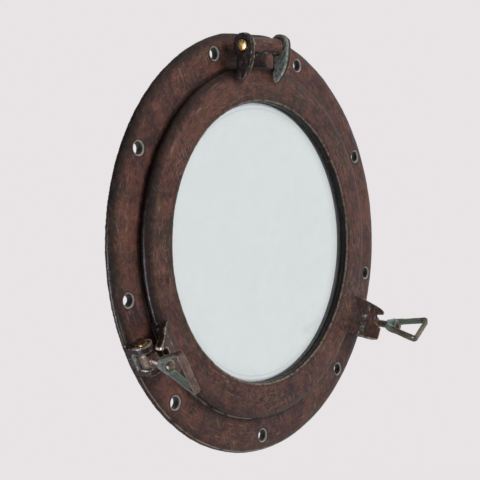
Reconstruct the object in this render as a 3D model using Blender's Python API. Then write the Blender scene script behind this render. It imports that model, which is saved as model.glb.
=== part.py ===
"""Opening porthole, 12 inch: a cast flange with a top-hinged glazed window and two swing-bolt dogs.

Frame: the origin is the centre of the flange's back plane, +X right, +Z up, and the front faces -Y.
A height h is measured from the back plane towards the front, so y = -h. Lengths below are in millimetres.
"""

import math

import bmesh
import bpy
from mathutils import Matrix, Vector

MM = 0.001

# Flange: a turned ring, 12 inches across
FLANGE_R = 152.4
FLANGE_BORE_R = 114.3
FLANGE_H = 5.8
FLANGE_EDGE_H = 2.2
FLANGE_ROUND = 9.4
FLANGE_FLAT_Z = 150.4
FLANGE_SEGMENTS = 72
INNER_SEGMENTS = 48

# Screw holes, drilled by hand on one pitch circle and so a little uneven
HOLE_PITCH_R = 141.0
HOLE_ANGLES = (23.5, 66.0, 106.0, 148.5, 189.0, 223.0, 264.5, 308.0, 343.5)
HOLE_R = 3.5
SINK_R = 4.9
SINK_DEPTH = 1.4

# Window ring: 10 inches across, round an 8 inch sight opening
RING_R = 127.0
SIGHT_R = 101.3
RING_UNDER_H = 6.4
RING_TOP_H = 12.6
RING_ROUND = 7.0
RING_EDGE_H = 9.0
LIP_UNDER_H = 7.1
SPIGOT_R = 113.4
SPIGOT_H = 2.7
POCKET_R = 106.7

# Seal groove in the ring's underside
SEAL_INNER_R = 117.6
SEAL_OUTER_R = 121.4
SEAL_TOP_H = 8.4
SEAL_FOOT_H = 7.0
GAP = 0.3

# Glazing, from the back: retaining ring, glass, gasket, lip
GLASS_R = 106.2
GLASS_H = (2.7, 5.7)
GASKET_H = (6.0, 6.8)
GASKET_INNER_R = 101.7
RETAINER_H = (0.7, 2.4)
RETAINER_R = (101.6, 112.8)
SCREW_PITCH_R = 110.0
SCREW_COUNT = 6
SCREW_R = 1.5
SCREW_HEAD_R = 2.9
SCREW_TOP_H = 8.0

# Hinge at the top: barrel on the flange, two ears on the window ring
HINGE_Z = 140.6
HINGE_H = 18.0
HINGE_PIN_R = 4.0
BARREL_R = 5.7
BARREL_HALF = 17.1
WASHER_R = 6.9
WASHER_X = (17.4, 18.3)
SADDLE_HALF = 12.5
EAR_X = (18.6, 23.0)
EAR_LOBE_R = 8.7
PIN_PROUD = 0.9
PIN_EASE = 0.9

# Dogs: fork on the flange, eye bolt, wing nut, slotted lug on the window ring
DOG_ANGLES = {"left": 204.0, "right": 327.5}
DOG_LOW_SIDE = {"left": 1.0, "right": -1.0}
DOG_PIN_RADIUS = 146.0
DOG_PIN_H = 13.5
DOG_PIN_R = 3.4
FORK_T = (5.5, 11.0)
FORK_LOBE_R = 6.3
DOG_LEAN = 14.5
EYE_HALF = 5.1
EYE_R = 5.8
NECK_HALF = 3.7
NECK_S = 8.6
SHANK_R = 3.0
SHANK_PAST_NUT = 11.4
LUG_END_R = 145.3
LUG_SHIFT = 3.8
SLOT_HALF = 5.4
SLOT_END_SHIFT = -2.9
NUT_START = 15.9
NUT_LENGTH = 29.0
NUT_HALF_BAR = 14.2
NUT_STRIP = (6.4, 3.0)
NUT_STRIP_EASE = 0.7
NUT_BEND = 5.2
NUT_CORNER = 2.6
NUT_HUB_R = 4.4
NUT_HUB_LENGTH = 8.6
NUT_SPIN = {"left": 2.5, "right": -38.0}


# Building helpers


def clear_scene():
    for obj in list(bpy.data.objects):
        bpy.data.objects.remove(obj, do_unlink=True)


def material(name, colour, roughness, metallic):
    mat = bpy.data.materials.new(name)
    mat.use_nodes = True
    shader = mat.node_tree.nodes["Principled BSDF"]
    shader.inputs["Base Color"].default_value = (*colour, 1.0)
    shader.inputs["Roughness"].default_value = roughness
    shader.inputs["Metallic"].default_value = metallic
    return mat


def finish(name, bm, mat=None, smooth_angle=35.0):
    """An object holding this bmesh, which is in millimetres and is scaled to metres here."""
    bmesh.ops.scale(bm, vec=(MM, MM, MM), verts=bm.verts)
    bmesh.ops.recalc_face_normals(bm, faces=bm.faces)
    mesh = bpy.data.meshes.new(name)
    bm.to_mesh(mesh)
    bm.free()
    mesh.shade_smooth()
    mesh.set_sharp_from_angle(angle=math.radians(smooth_angle))
    if mat:
        mesh.materials.append(mat)
    obj = bpy.data.objects.new(name, mesh)
    bpy.context.scene.collection.objects.link(obj)
    return obj


def tool(name, bm):
    """A shape used only by a Boolean."""
    obj = finish(name, bm)
    obj.hide_render = True
    obj.display_type = "WIRE"
    return obj


def combine(obj, other, operation):
    modifier = obj.modifiers.new(other.name, "BOOLEAN")
    modifier.operation = operation
    modifier.solver = "EXACT"
    modifier.object = other


def arc(centre, radius_x, radius_y, start, end, steps):
    """Points on an elliptical arc, with its angles in degrees."""
    points = []
    for i in range(steps + 1):
        angle = math.radians(start + (end - start) * i / steps)
        points.append((centre[0] + radius_x * math.cos(angle), centre[1] + radius_y * math.sin(angle)))
    return points


def turned(profile, segments=FLANGE_SEGMENTS):
    """A closed (radius, height) outline turned about the porthole's axis."""
    bm = bmesh.new()
    rings = []
    for i in range(segments):
        angle = 2 * math.pi * i / segments
        rings.append([bm.verts.new((r * math.cos(angle), -h, r * math.sin(angle))) for r, h in profile])
    count = len(profile)
    for i, ring in enumerate(rings):
        following = rings[(i + 1) % segments]
        for j in range(count):
            k = (j + 1) % count
            bm.faces.new((ring[j], ring[k], following[k], following[j]))
    return bm


def prism(outline, low, high, place):
    """An outline extruded from low to high. place turns (first, second, along) into a point."""
    bm = bmesh.new()
    ends = [[bm.verts.new(place(a, b, along)) for a, b in outline] for along in (low, high)]
    bm.faces.new(ends[0])
    bm.faces.new(ends[1])
    count = len(outline)
    for i in range(count):
        k = (i + 1) % count
        bm.faces.new((ends[0][i], ends[0][k], ends[1][k], ends[1][i]))
    return bm


def rod(sections, place, segments=24):
    """A solid of revolution from (along, radius) stations. place turns (a, b, along) into a point."""
    bm = bmesh.new()
    rings = []
    for along, radius in sections:
        circle = arc((0, 0), radius, radius, 0, 360 * (segments - 1) / segments, segments - 1)
        rings.append([bm.verts.new(place(a, b, along)) for a, b in circle])
    for first, second in zip(rings, rings[1:]):
        for i in range(segments):
            k = (i + 1) % segments
            bm.faces.new((first[i], first[k], second[k], second[i]))
    bm.faces.new(rings[0])
    bm.faces.new(rings[-1])
    return bm


def hinge_place(z, h, x):
    return (x, -h, z)


def hinge_rod_place(a, b, x):
    """Round the hinge pin's axis."""
    return (x, -(HINGE_H + b), HINGE_Z + a)


def front_place(x, z):
    """Round an axis that stands on the flange at (x, z)."""
    return lambda a, b, h: (x + a, -h, z + b)


def polar(radius, degrees):
    angle = math.radians(degrees)
    return radius * math.cos(angle), radius * math.sin(angle)


def dog_place(side):
    """(radial, height, tangential) at a dog, as a point."""
    cos, sin = polar(1.0, DOG_ANGLES[side])
    return lambda r, h, t: (r * cos - t * sin, -h, r * sin + t * cos)


def bolt_frame(side):
    """The bolt's matrix: X is tangential, Z runs up the leaning bolt from its pin, in millimetres."""
    place = dog_place(side)
    origin = Vector(place(DOG_PIN_RADIUS, DOG_PIN_H, 0))
    lean = math.radians(DOG_LEAN)
    up = Vector(place(math.sin(lean), math.cos(lean), 0))
    tangent = Vector(place(0, 0, 1))
    depth = up.cross(tangent)
    return Matrix((tangent, depth, up)).transposed().to_4x4(), origin


def hung_on(obj, empty_name, point, turn=None):
    """Puts the object's origin, through an empty, on its joint's axis."""
    empty = bpy.data.objects.new(empty_name, None)
    empty.matrix_world = Matrix.Translation(Vector(point) * MM)
    if turn is not None:
        empty.matrix_world = empty.matrix_world @ turn
    bpy.context.scene.collection.objects.link(empty)
    obj.parent = empty
    obj.matrix_parent_inverse = empty.matrix_world.inverted()


# Flange with hinge barrel and dog forks


def flange_profile():
    edge = FLANGE_R - FLANGE_ROUND
    top = arc((edge, FLANGE_EDGE_H), FLANGE_ROUND, FLANGE_H - FLANGE_EDGE_H, 0, 90, 5)
    back = [(FLANGE_BORE_R, 0), (FLANGE_R - 0.8, 0), (FLANGE_R, 0.8)]
    bore = [(FLANGE_BORE_R + 0.9, FLANGE_H), (FLANGE_BORE_R, FLANGE_H - 0.9)]
    return back + top + bore


def screw_hole(index, angle):
    """Straight through, with a shallow countersink."""
    deep = FLANGE_H - SINK_DEPTH
    sections = [(-2, HOLE_R), (deep, HOLE_R), (FLANGE_H, SINK_R), (FLANGE_H + 3, SINK_R)]
    return tool(f"hole_cutter_{index}", rod(sections, front_place(*polar(HOLE_PITCH_R, angle)), 16))


def barrel_saddle():
    """The web that carries the hinge barrel: narrow at the barrel, spread at its foot."""
    outer = [(133.6, 4.6), (147.6, 4.6), (147.6, 6.6), (145.2, 9.2), (144.6, 17)]
    inner = [(136.8, 17), (136.2, 9.2), (133.6, 6.6)]
    return tool("barrel_saddle", prism(outer + inner, -SADDLE_HALF, SADDLE_HALF, hinge_place))


def fork_ear(side, sign):
    """One cheek of the fork that holds the dog's pin."""
    foot = [(DOG_PIN_RADIUS + FORK_LOBE_R + 0.3, 4.2), (DOG_PIN_RADIUS + FORK_LOBE_R, 8.0)]
    lobe = arc((DOG_PIN_RADIUS, DOG_PIN_H), FORK_LOBE_R, FORK_LOBE_R, 0, 180, 10)
    heel = [(DOG_PIN_RADIUS - FORK_LOBE_R, 8.0), (DOG_PIN_RADIUS - FORK_LOBE_R - 1.8, 4.2)]
    near, far = sorted((sign * FORK_T[0], sign * FORK_T[1]))
    name = f"fork_{side}_{'first' if sign < 0 else 'second'}"
    return tool(name, prism(foot + lobe + heel, near, far, dog_place(side)))


def fork_foot(side):
    """The low pad that joins the two cheeks."""
    outline = [(137.2, 4.2), (151.4, 4.2), (151.0, 6.9), (138.2, 6.9)]
    return tool(f"fork_foot_{side}", prism(outline, -FORK_T[1], FORK_T[1], dog_place(side)))


def pin_cutter(side):
    place = dog_place(side)
    sections = [(-20, DOG_PIN_R + GAP), (20, DOG_PIN_R + GAP)]
    return tool(
        f"dog_pin_cutter_{side}",
        rod(sections, lambda a, b, t: place(DOG_PIN_RADIUS + a, DOG_PIN_H + b, t)),
    )


def make_flange(mat):
    flange = finish("mounting_flange", turned(flange_profile()), mat)
    top = [(FLANGE_FLAT_Z, -3), (FLANGE_FLAT_Z + 9, -3), (FLANGE_FLAT_Z + 9, 9), (FLANGE_FLAT_Z, 9)]
    combine(flange, tool("top_flat", prism(top, -60, 60, hinge_place)), "DIFFERENCE")
    for index, angle in enumerate(HOLE_ANGLES):
        combine(flange, screw_hole(index, angle), "DIFFERENCE")
    combine(flange, barrel_saddle(), "UNION")
    barrel = rod([(-BARREL_HALF, BARREL_R), (BARREL_HALF, BARREL_R)], hinge_rod_place)
    combine(flange, tool("barrel", barrel), "UNION")
    bore = rod([(-40, HINGE_PIN_R + GAP), (40, HINGE_PIN_R + GAP)], hinge_rod_place)
    combine(flange, tool("barrel_bore", bore), "DIFFERENCE")
    for side in DOG_ANGLES:
        combine(flange, fork_foot(side), "UNION")
        for sign in (-1, 1):
            combine(flange, fork_ear(side, sign), "UNION")
        combine(flange, pin_cutter(side), "DIFFERENCE")
    return flange


# Window ring with hinge ears and slotted lugs


def ring_profile():
    top = arc((RING_R - RING_ROUND, RING_EDGE_H), RING_ROUND, RING_TOP_H - RING_EDGE_H, 0, 90, 5)
    inner = [(111, RING_TOP_H + 0.1), (SIGHT_R + 2.6, RING_TOP_H - 0.1), (SIGHT_R + 0.8, 11.9)]
    bore = [(SIGHT_R, 10.9), (SIGHT_R, LIP_UNDER_H), (POCKET_R, LIP_UNDER_H), (POCKET_R, SPIGOT_H)]
    spigot = [(SPIGOT_R - 0.6, SPIGOT_H), (SPIGOT_R, SPIGOT_H + 0.6), (SPIGOT_R, RING_UNDER_H)]
    groove_in, groove_out, groove_top = SEAL_INNER_R - GAP, SEAL_OUTER_R + GAP, SEAL_TOP_H + GAP
    groove = [(groove_in, RING_UNDER_H), (groove_in, groove_top), (groove_out, groove_top)]
    under = [(groove_out, RING_UNDER_H), (RING_R - 0.6, RING_UNDER_H), (RING_R, RING_UNDER_H + 0.6)]
    return top + inner + bore + spigot + groove + under


def ear_outline():
    """A claw: it rises from a pointed tip on the ring's face, and closes round the pin."""
    front = [(113.8, 12.4), (114.8, 14.2), (117.4, 17.4), (121.0, 20.7), (125.6, 23.4), (131.2, 25.4)]
    lobe = arc((HINGE_Z, HINGE_H), EAR_LOBE_R, EAR_LOBE_R, 102, -138, 16)
    under = [(128.6, 11.8), (125.6, 11.3), (122.6, 9.0), (115.0, 9.0)]
    return front + lobe + under


def lug_outline():
    """The lug's side: a ramp up from the ring's face, and a thick end that hangs over the fork."""
    ramp = [(116.0, 12.0), (118.0, 13.4), (128.0, 19.6), (136.5, 25.0), (141.0, 27.2)]
    end = [(LUG_END_R - 1.2, 28.3), (LUG_END_R, 27.4), (LUG_END_R, 22.2), (LUG_END_R - 1.0, 21.3)]
    under = [(138.4, 21.0), (133.8, 17.8), (129.6, 12.2), (124.6, 9.8), (118.0, 9.8)]
    return ramp + end + under


def lug_plan(side):
    """The lug seen from the front, as (radial, tangential), a little wider on its lower side."""
    shift = LUG_SHIFT * DOG_LOW_SIDE[side]
    half = [(112.0, 15.5), (130.0, 15.2), (138.0, 14.0), (143.0, 12.8)]
    half += [(LUG_END_R - 0.6, 12.0), (LUG_END_R + 2, 10.0)]
    upper = [(r, t + shift) for r, t in half]
    lower = [(r, -t + shift) for r, t in reversed(half)]
    return upper + lower


def slot_plan():
    centre = DOG_PIN_RADIUS + SLOT_END_SHIFT
    round_end = arc((centre, 0), SLOT_HALF, SLOT_HALF, 90, 270, 8)
    return [(centre + 12, SLOT_HALF)] + round_end + [(centre + 12, -SLOT_HALF)]


def make_lug(side):
    place = dog_place(side)
    lug = tool(f"lug_{side}", prism(lug_outline(), -24, 24, place))
    plan = tool(f"lug_plan_{side}", prism(lug_plan(side), 5, 34, lambda r, t, h: place(r, h, t)))
    combine(lug, plan, "INTERSECT")
    return lug


def make_window_ring(mat):
    ring = finish("window_ring", turned(ring_profile()), mat)
    for sign in (-1, 1):
        near, far = sorted((sign * EAR_X[0], sign * EAR_X[1]))
        name = "ear_right" if sign > 0 else "ear_left"
        combine(ring, tool(name, prism(ear_outline(), near, far, hinge_place)), "UNION")
    bore = rod([(-41, HINGE_PIN_R + GAP), (41, HINGE_PIN_R + GAP)], hinge_rod_place)
    combine(ring, tool("ear_bore", bore), "DIFFERENCE")
    for side in DOG_ANGLES:
        place = dog_place(side)
        combine(ring, make_lug(side), "UNION")
        slot = prism(slot_plan(), 14, 34, lambda r, t, h: place(r, h, t))
        combine(ring, tool(f"slot_{side}", slot), "DIFFERENCE")
    for index in range(SCREW_COUNT):
        hole = rod([(1, SCREW_R + GAP), (SCREW_TOP_H + GAP, SCREW_R + GAP)], screw_place(index), 10)
        combine(ring, tool(f"tapped_hole_{index}", hole), "DIFFERENCE")
    hung_on(ring, "window_hinge", (0, -HINGE_H, HINGE_Z))
    return ring


# Glazing


def screw_place(index):
    return front_place(*polar(SCREW_PITCH_R, 30 + 360 * index / SCREW_COUNT))


def flat_ring(name, inner, outer, heights, mat):
    low, high = heights
    profile = [(inner, low), (outer, low), (outer, high), (inner, high)]
    return finish(name, turned(profile, INNER_SEGMENTS), mat)


def make_glass(mat):
    low, high = GLASS_H
    edge = [(low, GLASS_R - 0.5), (low + 0.5, GLASS_R), (high - 0.5, GLASS_R), (high, GLASS_R - 0.5)]
    return finish("window_glass", rod(edge, front_place(0, 0), INNER_SEGMENTS), mat)


def make_retainer(mat):
    low, high = RETAINER_H
    retainer = flat_ring("glass_retaining_ring", *RETAINER_R, RETAINER_H, mat)
    for index in range(SCREW_COUNT):
        sections = [
            (low - 1, SCREW_HEAD_R + GAP),
            (low + 0.3, SCREW_HEAD_R + GAP),
            (high - 0.2, SCREW_R + GAP),
            (high + 1, SCREW_R + GAP),
        ]
        combine(retainer, tool(f"countersink_{index}", rod(sections, screw_place(index), 12)), "DIFFERENCE")
    return retainer


def make_retaining_screw(index, mat):
    low, high = RETAINER_H
    sections = [
        (low + 0.1, SCREW_HEAD_R),
        (low + 0.3, SCREW_HEAD_R),
        (high - 0.4, SCREW_R),
        (SCREW_TOP_H - 0.8, SCREW_R),
        (SCREW_TOP_H, SCREW_R - 0.7),
    ]
    return finish(f"retaining_screw_{index + 1}", rod(sections, screw_place(index), 12), mat)


def make_weather_seal(mat):
    """A rubber ring with a soft round foot, held in the window ring's groove."""
    middle = (SEAL_INNER_R + SEAL_OUTER_R) / 2
    half = (SEAL_OUTER_R - SEAL_INNER_R) / 2
    foot = arc((middle, SEAL_FOOT_H), half, SEAL_FOOT_H - FLANGE_H - GAP, 180, 360, 3)
    top = [(SEAL_OUTER_R, SEAL_TOP_H), (SEAL_INNER_R, SEAL_TOP_H)]
    return finish("weather_seal", turned(foot + top, INNER_SEGMENTS), mat)


# Hinge and dog hardware


def domed_pin(half_length, radius):
    """Stations of a pin whose two ends are eased."""
    return [
        (-half_length, radius - PIN_EASE),
        (-half_length + PIN_EASE / 2, radius),
        (half_length - PIN_EASE / 2, radius),
        (half_length, radius - PIN_EASE),
    ]


def make_hinge_pin(mat):
    sections = domed_pin(EAR_X[1] + PIN_PROUD, HINGE_PIN_R)
    return finish("hinge_pin", rod(sections, hinge_rod_place, 28), mat)


def make_hinge_washer(name, sign, mat):
    low, high = sorted((sign * WASHER_X[0], sign * WASHER_X[1]))
    washer = finish(name, rod([(low, WASHER_R), (high, WASHER_R)], hinge_rod_place, 28), mat)
    bore = rod([(low - 2, HINGE_PIN_R + GAP), (high + 2, HINGE_PIN_R + GAP)], hinge_rod_place, 24)
    combine(washer, tool(f"{name}_bore", bore), "DIFFERENCE")
    return washer


def make_dog_pin(side, mat):
    place = dog_place(side)
    sections = domed_pin(FORK_T[1] + PIN_PROUD, DOG_PIN_R)
    shape = rod(sections, lambda a, b, t: place(DOG_PIN_RADIUS + a, DOG_PIN_H + b, t))
    return finish(f"dog_pin_{side}", shape, mat)


def moved(bm, matrix, origin):
    bmesh.ops.transform(bm, matrix=Matrix.Translation(origin) @ matrix, verts=bm.verts)
    return bm


def make_swing_bolt(side, mat):
    """Eye round the pin, square neck, and a threaded shank that runs on through the wing nut."""
    matrix, origin = bolt_frame(side)
    eye = rod([(-EYE_HALF, EYE_R), (EYE_HALF, EYE_R)], lambda a, b, t: (t, a, b))
    bolt = finish(f"swing_bolt_{side}", moved(eye, matrix, origin), mat)
    shoulder = NECK_S - 1.2
    half = [(NECK_HALF, 0), (NECK_HALF, shoulder), (NECK_HALF - 0.9, NECK_S)]
    neck_outline = half + [(-a, b) for a, b in reversed(half)]
    neck = prism(neck_outline, -EYE_HALF + 0.4, EYE_HALF - 0.4, lambda a, b, t: (t, a, b))
    combine(bolt, tool(f"neck_{side}", moved(neck, matrix, origin)), "UNION")
    tip = NUT_START + SHANK_PAST_NUT
    stations = [(4, SHANK_R), (tip - 0.8, SHANK_R), (tip, SHANK_R - 0.8)]
    shank = rod(stations, lambda a, b, s: (a, b, s), 20)
    combine(bolt, tool(f"shank_{side}", moved(shank, matrix, origin)), "UNION")
    eye_bore = rod([(-12, DOG_PIN_R + GAP), (12, DOG_PIN_R + GAP)], lambda a, b, t: (t, a, b))
    combine(bolt, tool(f"eye_bore_{side}", moved(eye_bore, matrix, origin)), "DIFFERENCE")
    hung_on(bolt, f"dog_swing_{side}", origin, matrix)
    return bolt


def nut_centreline():
    """The strip's middle line, as (across, along the bolt): a round vertex, two arms, and a straight bar."""
    vertex = (0.0, NUT_START + NUT_STRIP[1] / 2 + NUT_BEND)
    bar = NUT_START + NUT_LENGTH
    corner_at = (NUT_HALF_BAR - NUT_CORNER, bar - NUT_CORNER)
    across, along = corner_at[0] - vertex[0], corner_at[1] - vertex[1]
    distance = math.hypot(across, along)
    tangent = math.degrees(math.atan2(along, across) - math.acos((NUT_BEND - NUT_CORNER) / distance))
    left_corner = (-corner_at[0], corner_at[1])
    bottom = arc(vertex, NUT_BEND, NUT_BEND, -180 - tangent, tangent, 12)
    right = arc(corner_at, NUT_CORNER, NUT_CORNER, tangent, 90, 5)
    left = arc(left_corner, NUT_CORNER, NUT_CORNER, 90, 180 - tangent, 5)
    return bottom + right + left


def strip_loop(path, width, thick):
    """A closed strip along the path with rounded edges."""
    bm = bmesh.new()
    half_w, half_t = width / 2, thick / 2
    flat_w, flat_t = half_w - NUT_STRIP_EASE, half_t - NUT_STRIP_EASE
    section = [(half_t, flat_w), (flat_t, half_w), (-flat_t, half_w), (-half_t, flat_w)]
    section += [(-n, -w) for n, w in section]
    rings = []
    count = len(path)
    for i, point in enumerate(path):
        before, after = Vector(path[i - 1]), Vector(path[(i + 1) % count])
        along = (after - before).normalized()
        out = Vector((along.y, -along.x))
        rings.append([bm.verts.new((point[0] + out.x * n, w, point[1] + out.y * n)) for n, w in section])
    for i, ring in enumerate(rings):
        following = rings[(i + 1) % count]
        for j in range(len(section)):
            k = (j + 1) % len(section)
            bm.faces.new((ring[j], ring[k], following[k], following[j]))
    return bm


def make_wing_nut(side, mat):
    matrix, origin = bolt_frame(side)
    matrix = matrix @ Matrix.Rotation(math.radians(NUT_SPIN[side]), 4, "Z")
    nut = finish(f"wing_nut_{side}", moved(strip_loop(nut_centreline(), *NUT_STRIP), matrix, origin), mat)
    hub_low, hub_top = NUT_START + 0.1, NUT_START + NUT_HUB_LENGTH
    stations = [
        (hub_low, NUT_HUB_R - 0.6),
        (hub_low + 0.6, NUT_HUB_R),
        (hub_top - 0.6, NUT_HUB_R),
        (hub_top, NUT_HUB_R - 0.6),
    ]
    hub = rod(stations, lambda a, b, s: (a, b, s))
    combine(nut, tool(f"hub_{side}", moved(hub, matrix, origin)), "UNION")
    bore = [(hub_low - 4, SHANK_R + GAP), (hub_top + 4, SHANK_R + GAP)]
    thread = rod(bore, lambda a, b, s: (a, b, s), 20)
    combine(nut, tool(f"nut_bore_{side}", moved(thread, matrix, origin)), "DIFFERENCE")
    hung_on(nut, f"nut_spin_{side}", origin, matrix)
    return nut


def build():
    clear_scene()
    flange_brown = material("flange_brown", (0.115, 0.055, 0.042), 0.5, 0.35)
    ring_brown = material("ring_brown", (0.13, 0.062, 0.048), 0.5, 0.35)
    bolt_brown = material("bolt_brown", (0.14, 0.085, 0.06), 0.5, 0.6)
    verdigris = material("verdigris", (0.25, 0.38, 0.34), 0.6, 0.3)
    brass = material("brass", (0.42, 0.27, 0.09), 0.4, 0.9)
    steel = material("steel", (0.5, 0.49, 0.47), 0.35, 1.0)
    rubber = material("rubber", (0.02, 0.02, 0.02), 0.8, 0.0)
    blackened = material("blackened_ring", (0.03, 0.032, 0.03), 0.6, 0.3)
    clear = material("clear_glass", (0.85, 0.92, 0.9), 0.05, 0.0)

    make_flange(flange_brown)
    window = make_window_ring(ring_brown)
    glazing = [
        make_glass(clear),
        flat_ring("glass_gasket", GASKET_INNER_R, GLASS_R, GASKET_H, rubber),
        make_retainer(blackened),
        make_weather_seal(rubber),
    ]
    glazing += [make_retaining_screw(index, steel) for index in range(SCREW_COUNT)]
    for piece in glazing:
        piece.parent = window.parent
        piece.matrix_parent_inverse = window.matrix_parent_inverse
    make_hinge_pin(brass)
    make_hinge_washer("hinge_washer_left", -1, steel)
    make_hinge_washer("hinge_washer_right", 1, steel)
    for side in DOG_ANGLES:
        make_dog_pin(side, brass)
        make_swing_bolt(side, bolt_brown)
        make_wing_nut(side, verdigris)


build()
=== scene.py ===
"""Opening porthole, 12 inch, in an antique-brown finish: the visual model and its studio.

Frame: the origin is the centre of the flange's back plane, +X right, +Z up, and the front faces -Y.
A height h is measured from the back plane towards the front, so y = -h. Lengths are in millimetres
until a mesh is made, and noise scales in the materials are per millimetre too.
"""

import math

import bmesh
import bpy
import numpy as np
from mathutils import Matrix, Vector


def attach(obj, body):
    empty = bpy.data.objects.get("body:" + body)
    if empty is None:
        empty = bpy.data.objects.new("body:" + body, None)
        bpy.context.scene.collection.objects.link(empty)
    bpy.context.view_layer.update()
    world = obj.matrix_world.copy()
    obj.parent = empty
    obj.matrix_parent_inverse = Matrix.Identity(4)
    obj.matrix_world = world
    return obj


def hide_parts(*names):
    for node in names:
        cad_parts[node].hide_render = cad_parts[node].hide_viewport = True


MM = 0.001

# Flange and window ring
FLANGE_R, FLANGE_H = 152.4, 5.8
FLANGE_ROUND, FLANGE_EDGE_H = 9.4, 2.2
FLANGE_FLAT_Z = 150.4
FLANGE_SEGMENTS = 72
HOLE_PITCH_R, HOLE_R = 141.0, 3.65
HOLE_ANGLES = (23.5, 66.0, 106.0, 148.5, 189.0, 223.0, 264.5, 308.0, 343.5)
RING_R, SIGHT_R = 127.0, 101.3
RING_ROUND, RING_EDGE_H, RING_TOP_H = 7.0, 9.0, 12.6
LIP_UNDER_H, POCKET_R, SPIGOT_H = 7.1, 106.7, 2.7

# Glazing
GLASS_R, GLASS_H = 106.2, (2.7, 5.7)
GASKET_R, GASKET_H = (101.7, 106.2), (6.0, 6.8)
RETAINER_R, RETAINER_H = (101.6, 112.8), (0.7, 2.4)
SCREW_PITCH_R, SCREW_COUNT, SCREW_R, SCREW_TOP_H = 110.0, 6, 1.5, 8.0
SEAL_R, SEAL_TOP_H, SEAL_FOOT_H = (117.6, 121.4), 8.4, 7.0

# Hinge
HINGE_Z, HINGE_H, HINGE_PIN_R = 140.6, 18.0, 4.0
WASHER_R, WASHER_X = 6.9, (17.4, 18.3)
EAR_X = (18.6, 23.0)
PIN_PROUD, PIN_SLOT_TURN = 0.9, 8.0

# Dogs
DOG_ANGLES = {"left": 204.0, "right": 327.5}
DOG_PIN_RADIUS, DOG_PIN_H, DOG_PIN_R = 146.0, 13.5, 3.4
FORK_T, FORK_R = (5.5, 11.0), 136.5
DOG_LEAN = 14.5
EYE_HALF, EYE_R = 5.1, 5.8
SHANK_R, SHANK_START = 3.0, 6.5
THREAD_PITCH, THREAD_DEPTH, STEPS_PER_TURN = 1.25, 0.42, 8
NECK_HALF, NECK_TOP = 3.6, 7.6
NUT_START, NUT_LENGTH, NUT_HALF_BAR = 15.9, 29.0, 14.2
NUT_BEND, NUT_CORNER = 5.2, 1.7
NUT_HUB_R, NUT_HUB_LENGTH = 4.4, 8.6
NUT_HALF_THICK, NUT_HALF_WIDTH, NUT_FACETS = 1.32, 2.6, 16
NUT_CENTRE = NUT_START + 19.0
NUT_SPIN = {"left": 2.5, "right": -38.0}
SHANK_TIP = NUT_START + 11.4

GAP = 0.3
PIN_BORE_R, HINGE_BORE_R = DOG_PIN_R + GAP / 2, HINGE_PIN_R + GAP / 2

# Surfaces, with the angles in degrees above which an edge is sharp
CAST_VOXEL, BOLT_VOXEL, NUT_VOXEL = 0.92, 0.38, 0.42
CAST_ROUGH, BOLT_ROUGH, NUT_ROUGH = 0.13, 0.06, 0.09
MAX_SWELL = 0.12
CAST_SHARP, CUT_SHARP, FORGED_SHARP, GLASS_SHARP = 42, 35, 50, 12

# Colours of the antique finish and the other parts, some of them for painted shade and painted highlights
UMBER, RUSSET, REDDISH = (0.048, 0.023, 0.021), (0.108, 0.044, 0.034), (0.138, 0.055, 0.040)
OLIVE, PURPLE, TAN = (0.046, 0.036, 0.026), (0.034, 0.021, 0.026), (0.180, 0.090, 0.066)
# The pale worn colour on the next line also serves painted highlight lines on the castings.
SOOT, SCRATCH, WORN_AND_HIGHLIGHT = (0.015, 0.010, 0.010), (0.320, 0.195, 0.145), (0.43, 0.38, 0.31)
# The first colour on the next line is painted shade on the castings' rims and sides.
RIM_SHADE, CREVICE, BARED = (0.014, 0.012, 0.010), (0.007, 0.006, 0.006), (0.40, 0.385, 0.36)
# The first colour on the next line is painted shade inside the drilled holes.
HOLE_SHADE, OXIDE = (0.034, 0.036, 0.030), (0.016, 0.016, 0.013)
CRUST_DARK, CRUST_PALE = (0.170, 0.205, 0.172), (0.480, 0.560, 0.500)
BRASS_CRUST_DARK, BRASS_CRUST_PALE = (0.050, 0.085, 0.064), (0.300, 0.420, 0.370)
BRASS_FINE_DARK = (0.075, 0.045, 0.022)
RUBBER, RUBBER_DUST = (0.011, 0.011, 0.011), (0.040, 0.038, 0.034)
# The last colour on the next line is painted shade towards the glass's edge.
GLASS, GLASS_EDGE, GLASS_SHADE = (0.875, 0.975, 0.95), (0.84, 0.93, 0.93), (0.30, 0.33, 0.36)
DUST_FILM = (0.72, 0.745, 0.73, 1.0)
FLOOR_DARK, FLOOR_PALE = (0.80, 0.775, 0.785), (0.84, 0.815, 0.825)

# Studio: the floor in mm and metres, and the world's colours and the direction of its dark side
FLOOR_R, FLOOR_Z, FLOOR_FADE = 1600, -0.62, (300.0, 1500.0)
BACKDROP, FILL = (0.806, 0.776, 0.790, 1.0), (0.80, 0.79, 0.80, 1.0)
DARK_SIDE, FILL_FALL = (-0.74, 0.20, 0.64), (0.05, 0.75, 0.76, 0.16)

# Marks along the rings: the radius they are measured at, and where their ends meet
MARKS_R, SEAM_ANGLE = 118.0, DOG_ANGLES["right"]


# Meshes


def shade(mesh, sharp_angle):
    """Shades a mesh smooth except along its sharp edges."""
    mesh.shade_smooth()
    mesh.set_sharp_from_angle(angle=math.radians(sharp_angle))


def new_object(name, data):
    obj = bpy.data.objects.new(name, data)
    bpy.context.scene.collection.objects.link(obj)
    return obj


def piece_from(name, bm, mats=(), sharp_angle=40):
    """An object from a bmesh in millimetres."""
    bmesh.ops.scale(bm, vec=(MM, MM, MM), verts=bm.verts)
    bmesh.ops.recalc_face_normals(bm, faces=bm.faces)
    mesh = bpy.data.meshes.new(name)
    bm.to_mesh(mesh)
    bm.free()
    shade(mesh, sharp_angle)
    for mat in mats:
        mesh.materials.append(mat)
    return new_object(name, mesh)


def evaluated(obj):
    """The object's mesh with its modifiers applied, which then replaces the object's own."""
    graph = bpy.context.evaluated_depsgraph_get()
    mesh = bpy.data.meshes.new_from_object(obj.evaluated_get(graph))
    obj.modifiers.clear()
    obj.data = mesh
    return mesh


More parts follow.
